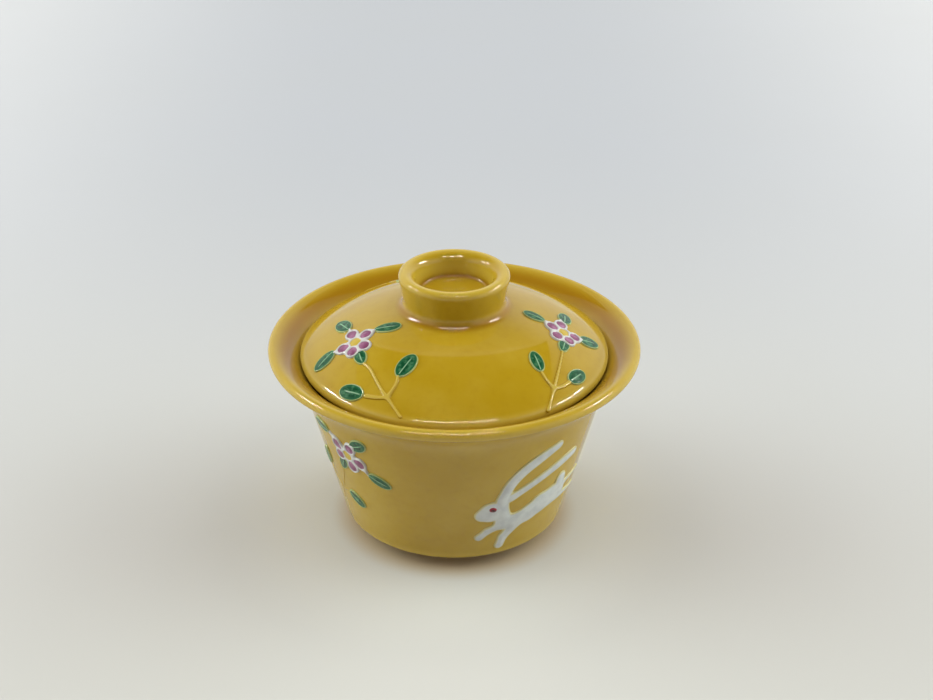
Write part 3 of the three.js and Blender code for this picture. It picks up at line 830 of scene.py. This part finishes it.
def leaf_enamel():
    enamel, place = new_finish("leaf_enamel")
    inset, across, along = (own_value(place, name) for name in ("inset", "across", "along"))
    mottle = place.noise(LEAF_LUMPS, 4)
    tone = mottle.clear_of(*LEAF_STEP).mix(LEAF_DARK, LEAF_LIGHT)
    even = (inset + (mottle - 0.5) * POOL_WANDER).within(LEAF_THREAD, LEAF_THREAD + POOL_REACH)
    tone = even.mix(tone, LEAF_GREEN, POOL_SHARE)
    rib = abs(across).within(*RIB_HALF) * along.clear_of(*RIB_START) * along.within(*RIB_END)
    tone = rib.mix(tone, LEAF_RIB, RIB_SHARE)
    tone = inset.within(LEAF_THREAD - LEAF_THREAD_SOFT, LEAF_THREAD).mix(tone, LEAF_EDGE)
    enamel_surface(place, tone)
    return enamel


leaf_paint = leaf_enamel()
print("leaf thread", LEAF_THREAD, "mm wide")

# %% Cut a leaf
LEAF_GRAIN, LEAF_BLEND = 0.16, 0.3
LEAF_END, LEAF_STEPS, LEAF_STOP = 0.3, 6, 6.2
RIB_CREST, RIB_WIDTH, RIB_REACH = 0.12, 0.16, 0.2


def cut_leaf(length, width, tip, widest=0):
    """A leaf along x, from its base at -length / 2.

    Tip draws both ends out to points, and widest moves the full part towards the tip.
    """
    points = []
    for share in (step / LEAF_STOP for step in range(-LEAF_STEPS, LEAF_STEPS + 1)):
        along = share + widest * (1 - share**2)
        half = max(LEAF_END, width / 2 * (1 - share**2) ** (0.5 + tip))
        points.append((along * (length / 2 - LEAF_END), 0, half))
    strokes = strokes_of(*points)
    sheet = cut_out(strokes, run_together(strokes, LEAF_BLEND), LEAF_GRAIN)
    across, along = (sheet.verts.layers.float.new(name) for name in ("across", "along"))
    for vert in sheet.verts:
        vert[across], vert[along] = vert.co.y, vert.co.x / length

    def relief(x, y, inset):
        rib = RIB_CREST * exp(-((y / RIB_WIDTH) ** 2)) * (x < RIB_REACH * length) * min(inset, 1)
        return thread_relief(inset, LEAF_THREAD, crest=0.48, fill=0.36, crown=0.08, spread=0.8) + rib

    return raise_slip(sheet, relief)


print("leaf grid of", LEAF_GRAIN, "mm")

# %% [markdown]
# ## Flowers
# Five rounded petals share one net of white slip threads round an open yellow eye, like cells of a comb.
# A petal's own edge and the halfway line to its neighbour both count as its outline, and that gives the
# net.

# %% Paint the flowers
PETAL_THREAD, PETAL_THREAD_SOFT = 0.8, 0.22
PETAL_PURPLE = colour(0.27, 0.075, 0.165)
PETAL_DARK = colour(0.16, 0.030, 0.085)
PETAL_LIGHT = colour(0.40, 0.17, 0.29)
THREAD_WHITE = colour(0.62, 0.595, 0.585)
PETAL_LUMPS, PETAL_STEP, PETAL_ROUGHNESS = 520, (0.38, 0.68), 0.14
PETAL_TIPS, TIP_SHARE = (3.4, 5.4), 0.6


def petal_enamel():
    enamel, place = new_finish("petal_enamel")
    inset, reach, eye = (own_value(place, name) for name in ("inset", "reach", "eye"))
    tone = place.noise(PETAL_LUMPS, 3).clear_of(*PETAL_STEP).mix(PETAL_PURPLE, PETAL_LIGHT)
    tone = reach.clear_of(*PETAL_TIPS).mix(tone, PETAL_DARK, TIP_SHARE)
    tone = eye.clear_of(0.4, 0.6).mix(tone, GLAZE_THIN_AND_LIT)
    tone = inset.within(PETAL_THREAD - PETAL_THREAD_SOFT, PETAL_THREAD).mix(tone, THREAD_WHITE)
    enamel_surface(place, tone, PETAL_ROUGHNESS)
    return enamel


petal_paint = petal_enamel()
print("petal thread", PETAL_THREAD, "mm wide")

# %% Cut a flower
FLOWER_GRAIN = 0.17
PETAL_INNER, PETAL_OUTER = (0.74, 1.6), (1.04, 2.3)
FLOWER_EYE = 2.5
TIE_HALF, TIE_TAPER = 0.42, 0.8
NOTCH_BLEND = 1.5


def petal_stroke(turn_degrees, reach):
    """A petal as one stroke, from the turn and the reach of its middle."""
    x, y = reach * cos(radians(turn_degrees)), reach * sin(radians(turn_degrees))
    return tuple((share * x, share * y, half) for share, half in (PETAL_INNER, PETAL_OUTER))


def petal_relief(x, y, inset):
    return thread_relief(inset, PETAL_THREAD, crest=0.66, fill=0.36, crown=0.22, spread=0.6)


def cut_flower(petals, ties):
    """Petals are (turn, reach of the middle); ties are threads of slip from the flower to the leaves."""
    strokes = [petal_stroke(*petal) for petal in petals]
    threads = [((x0, y0, TIE_HALF), (x1, y1, TIE_HALF * TIE_TAPER)) for x0, y0, x1, y1 in ties]

    def cells(x, y):
        """The distances to the eye and to each petal, nearest first, each with its kind."""
        eye = (hypot(x, y) - FLOWER_EYE, 0)
        return sorted([eye] + [(stroke_distance(x, y, stroke), 1) for stroke in strokes])

    def distance(x, y):
        least = hypot(x, y) - FLOWER_EYE
        for stroke in strokes + threads:
            least = soft_least(least, stroke_distance(x, y, stroke), NOTCH_BLEND)
        return least

    sheet = cut_out(strokes + threads, distance, FLOWER_GRAIN)
    inset = sheet.verts.layers.float["inset"]
    reach, eye = (sheet.verts.layers.float.new(name) for name in ("reach", "eye"))
    for vert in sheet.verts:
        nearest, second = cells(vert.co.x, vert.co.y)[:2]
        shared = (second[0] - nearest[0]) / 2 + PETAL_THREAD / 2
        vert[inset] = min(vert[inset], shared, max(-nearest[0], PETAL_THREAD / 2))
        vert[reach] = hypot(vert.co.x, vert.co.y)
        vert[eye] = 1 - nearest[1]
    return raise_slip(sheet, petal_relief)


print("flower eye", 2 * FLOWER_EYE, "mm across")

# %% [markdown]
# ## Stems
# The stems are single trailed threads under the yellow glaze, so they are the glaze's own colour, only
# paler where it runs thin over the crest. On the bowl the glaze is thicker and they hardly show. Their
# strokes run together at the forks.

# %% Paint and cut the stems
STEM_GRAIN, STEM_BLEND, STEM_HALF = 0.17, 0.5, 0.5
STEM_PALE = colour(0.54, 0.375, 0.055)
STEM_CREST = (0.08, 0.4)
STEM_HEIGHTS = {"lid": 0.44, "bowl": 0.1}


def stem_slip(name, pale):
    slip, place = new_finish(name)
    enamel_surface(place, own_value(place, "inset").clear_of(*STEM_CREST).mix(GLAZE, pale))
    return slip


def cut_stem(branches, height):
    strokes = [stroke for branch in branches for stroke in strokes_of(*eased(branch))]
    sheet = cut_out(strokes, run_together(strokes, STEM_BLEND), STEM_GRAIN)
    return raise_slip(sheet, lambda x, y, inset: domed(inset, STEM_HALF, height))


stem_paints = {"lid": stem_slip("stem_slip", STEM_PALE), "bowl": stem_slip("sunk_stem_slip", GLAZE)}
print("stem thread about", 2 * STEM_HALF, "mm wide")

# %% [markdown]
# ## The sprays
# One stencil serves all the sprays, but each was trailed by hand, so the two at the front of the lid
# differ a little and the one on the bowl is turned a quarter. A layout is drawn on flat paper in mm: the
# flower's middle, its petals and ties, each leaf's middle with its turn from base to tip and its sizes,
# and the stem's strokes. The lid's back spray repeats the left one, with two leaves kept behind the knob.

# %% Draw the layouts
LID_LEFT_SPRAY = {
    "flower": (-10.6, 4.6),
    "petals": [(3, 3.8), (81, 4.0), (153, 4.5), (239, 4.1), (302, 3.9)],
    "ties": [(-5.6, 2.9, -7.4, 3.8), (1.0, 5.4, 2.0, 6.7), (-2.8, -4.9, -4.3, -5.9)],
    "leaves": {
        "outer_leaf": (-22, 9, 168, 8, 5.1, 0.15),
        "upper_leaf": (-6, 13.9, 40, 8.6, 4.4, 0.15, 0.22),
        "lower_leaf": (-15.8, -4.9, 265, 8.5, 5, 0.2),
        "bud_leaf": (-3.8, 0.5, 330, 5.2, 4.0, 0.1, -0.42),
        "edge_leaf": (2.1, -10.3, 192, 7.4, 5.5, 0.08),
        "side_leaf": (10.7, 5.4, 97, 8.4, 5.6, 0.14),
    },
    "stem": [
        [(-1.6, -0.6, 0.4), (1.6, -1.0, 0.5), (6, -3.2, 0.5), (10.6, -5.4, 0.52), (13.2, -6.2, 0.6)],
        [(13.2, -6.2, 0.6), (17, -7.6, 0.45), (20.6, -9, 0.45)],
        [(11.2, 1.2, 0.4), (12.6, -1, 0.45), (13, -4, 0.45), (13.2, -6.2, 0.55)],
        [(7, -9.1, 0.68), (10.4, -8.0, 0.62), (13.2, -6.3, 0.5)],
    ],
}
LID_RIGHT_SPRAY = {
    "flower": (10, 3.2),
    "petals": [(169, 3.5), (101, 4.0), (38, 4.1), (298, 3.6), (237, 3.4)],
    "ties": [(4.2, 3.4, 6.0, 4.0), (-0.8, 5.3, -0.4, 6.6), (2.4, -4.2, 3.6, -5.2)],
    "leaves": {
        "outer_leaf": (18.8, 6.8, 22, 6.4, 4.7, 0.12),
        "upper_leaf": (9.1, 13.4, 102, 6.9, 4.4, 0.14, 0.15),
        "lower_leaf": (15.5, -4, 320, 6.4, 5.2, 0.06),
        "bud_leaf": (3.7, 0, 197, 5.0, 3.7, 0.1, -0.42),
        "edge_leaf": (-3.2, -9.3, 353, 6.8, 4.9, 0.08),
        "side_leaf": (-9.2, 2.3, 53, 7.6, 4.4, 0.16),
    },
    "stem": [
        [(1.6, -0.8, 0.4), (-3.6, -3.0, 0.45), (-9, -5.2, 0.5), (-13.4, -7.0, 0.55)],
        [(-13.4, -7.0, 0.55), (-17, -8.6, 0.45), (-20.8, -10.2, 0.55)],
        [(-11.6, -1.0, 0.4), (-12.7, -3.6, 0.45), (-13.4, -7.0, 0.5)],
        [(-7, -8.9, 0.6), (-10.4, -8.5, 0.55), (-13.4, -7.0, 0.5)],
    ],
}
BACK_LEAVES = {
    "outer_leaf": (-21, 8.6, 168, 6, 4.4, 0.15),
    "side_leaf": (9.9, 5.0, 97, 6.6, 4.2, 0.14),
}
LID_BACK_SPRAY = {**LID_LEFT_SPRAY, "leaves": {**LID_LEFT_SPRAY["leaves"], **BACK_LEAVES}}
BOWL_SPRAY = {
    "flower": (1.1, 6.7),
    "petals": [(61, 3.7), (144, 4.9), (198, 3.6), (284, 4.3), (342, 5.0)],
    "ties": [(3.2, 4.6, 4.0, 5.2), (-4.9, 4.6, -7.0, 5.8), (5.8, -3.0, 7.4, -5.2)],
    "leaves": {
        "upper_leaf": (-10.6, 12.6, 180, 8.6, 4.0, 0.2),
        "crown_leaf": (7.1, 12.9, 25, 6.8, 4.6, 0.12),
        "bud_leaf": (-2.9, 1.0, 245, 5.0, 3.8, 0.1, -0.4),
        "side_leaf": (12, 0, 335, 8.6, 4.3, 0.2),
        "lower_leaf": (-1.3, -13.5, 332, 7.2, 4.5, 0.15),
        "outer_leaf": (-14.8, -3, 85, 6.9, 4.2, 0.12),
    },
    "stem": [
        [(-4.6, -1.8, 0.4), (-6.6, -7.6, 0.45), (-9.8, -14.2, 0.5), (-12.6, -20, 0.42)],
        [(-4.6, -12.1, 0.4), (-7, -12.8, 0.45), (-9.8, -14.2, 0.45)],
        [(-15, -6.6, 0.4), (-13.6, -11, 0.45), (-9.8, -14.2, 0.45)],
    ],
}


def lay_spray(name, layout, place, body):
    flower = wrap(cut_flower(layout["petals"], layout["ties"]), place, *layout["flower"])
    as_piece(f"{name}_flower_slip", flower, petal_paint, body, "petal_enamel", f"{name}_flower")
    stem = wrap(cut_stem(layout["stem"], STEM_HEIGHTS[body]), place)
    as_piece(f"{name}_stem_slip", stem, stem_paints[body], body, "pale_slip", f"{name}_stem")
    for leaf, (x, y, turn, *sizes) in layout["leaves"].items():
        blade = wrap(cut_leaf(*sizes), place, x, y, turn)
        as_piece(f"{name}_{leaf}_slip", blade, leaf_paint, body, "leaf_enamel", f"{name}_{leaf}")


lay_spray("lid_left", LID_LEFT_SPRAY, lid_skin(225), "lid")
lay_spray("lid_right", LID_RIGHT_SPRAY, lid_skin(330), "lid")
lay_spray("lid_back", LID_BACK_SPRAY, lid_skin(103), "lid")
for name, turn_degrees in (("bowl_left", 223), ("bowl_back", 43)):
    lay_spray(name, BOWL_SPRAY, wall_skin(turn_degrees, SPRAY_CLIMB, SPRAY_SCALE), "bowl")
print("five sprays laid")

# %% [markdown]
# ## The leaping hares
# The hare is a flat pad of white slip with a pale edge where the yellow glaze creeps over it: long ears
# swept back, forelegs out, a short scut. Its limbs run together like wet slip, so the same strokes draw it.

# %% Paint and cut the hares
HARE_GRAIN, HARE_BLEND = 0.3, 0.9
HARE_THREAD, HARE_THREAD_CORE = 0.8, 0.2
HARE_WHITE = colour(0.62, 0.63, 0.62)
HARE_GREY = colour(0.50, 0.51, 0.52)
HARE_EDGE = colour(0.62, 0.53, 0.20)
HARE_LUMPS, HARE_STEP, HARE_EDGE_SHARE, HARE_ROUGHNESS = 260, (0.35, 0.7), 0.85, 0.22
HARE_LIMBS = {
    "head": [(-16.6, -4.2, 3.0), (-14, -3, 4.6)],
    "neck": [(-11, 2.2, 2.2), (-10.4, -4, 2.6), (-8.8, -8.6, 3.4)],
    "trunk": [(-8.8, -8.6, 3.4), (-4.4, -8.8, 3.5), (0, -7.2, 4.0), (4.4, -5, 4.7), (9, -4.2, 4.6)],
    "rump": [(9, -4.2, 4.6), (12.4, -4.8, 3.9)],
    "upper_ear": eased([(-11.3, 2, 2), (-9.9, 8.6, 2), (-6, 14, 2.1), (0, 17.8, 2.2), (7, 20.1, 1.4)]),
    "lower_ear": eased(
        [(-8.8, 2.2, 1.6), (-3, 5.6, 1.5), (4, 8.7, 1.65), (11, 10.7, 1.9), (16.8, 11.2, 1.4)]
    ),
    "scut": [(12.6, -3, 3.1), (12.5, 2.0, 2.4)],
    "upper_hind_leg": [(13, -2.8, 1.4), (18.8, -2.2, 0.85), (24.8, -2.4, 0.75)],
    "lower_hind_leg": [(12, -7, 1.8), (18.8, -8.4, 1.0), (24.8, -9.8, 0.75)],
    "leading_foreleg": [(-9.8, -9.6, 1.9), (-14, -12, 1.5), (-16.3, -14.8, 1.65)],
    "trailing_foreleg": [(-5, -11, 2.5), (-8, -15.6, 1.8), (-8.7, -19.4, 1.75)],
}


def hare_slip():
    slip, place = new_finish("hare_slip")
    tone = place.noise(HARE_LUMPS, 4).clear_of(*HARE_STEP).mix(HARE_WHITE, HARE_GREY)
    edge = own_value(place, "inset").within(HARE_THREAD_CORE, HARE_THREAD)
    enamel_surface(place, edge.mix(tone, HARE_EDGE, HARE_EDGE_SHARE), HARE_ROUGHNESS)
    return slip


def hare_relief(x, y, inset):
    return thread_relief(inset, HARE_THREAD, crest=0.36, fill=0.35, crown=0.3, spread=0.9)


def cut_hare():
    strokes = [stroke for limb in HARE_LIMBS.values() for stroke in strokes_of(*limb)]
    return raise_slip(cut_out(strokes, run_together(strokes, HARE_BLEND), HARE_GRAIN), hare_relief)


hare_paint = hare_slip()
hare_sheet = cut_hare()
print("hare:", len(hare_sheet.faces), "faces")

# %% [markdown]
# ## The eyes
# Each hare's eye is a drop of red enamel, dark in the middle where it is thickest. It is set on top of the
# finished slip, so it is a piece of its own, lifted to the height of the hare's cheek.

# %% Paint and cut the eyes
EYE_PLACE, EYE_LIFT = (-14, -1.4), 0.58
EYE_STROKE = ((-0.3, 0.1, 0.95), (0.3, -0.1, 0.95))
EYE_GRAIN, EYE_BLEND, EYE_HALF, EYE_HEIGHT = 0.1, 0.1, 0.95, 0.42
EYE_RED = colour(0.30, 0.008, 0.022)
EYE_DARK = colour(0.06, 0.003, 0.008)
EYE_FADE = (0.3, 0.62)


def eye_enamel():
    enamel, place = new_finish("eye_enamel")
    enamel_surface(place, own_value(place, "inset").clear_of(*EYE_FADE).mix(EYE_RED, EYE_DARK))
    return enamel


def cut_eye():
    strokes = strokes_of(*EYE_STROKE)
    sheet = cut_out(strokes, run_together(strokes, EYE_BLEND), EYE_GRAIN)
    return raise_slip(sheet, lambda x, y, inset: domed(inset, EYE_HALF, EYE_HEIGHT))


eye_paint = eye_enamel()
for name, turn_degrees in (("hare", 305), ("hare_back", 125)):
    hare_place = wall_skin(turn_degrees, HARE_CLIMB, HARE_SCALE)
    as_piece(f"{name}_slip", wrap(hare_sheet.copy(), hare_place), hare_paint, "bowl", "white_slip", name)
    eye = wrap(cut_eye(), hare_place, *EYE_PLACE, lift=EYE_LIFT)
    as_piece(f"{name}_eye_drop", eye, eye_paint, "bowl", "eye_enamel", f"{name}_eye")
hare_sheet.free()
print("two hares laid")
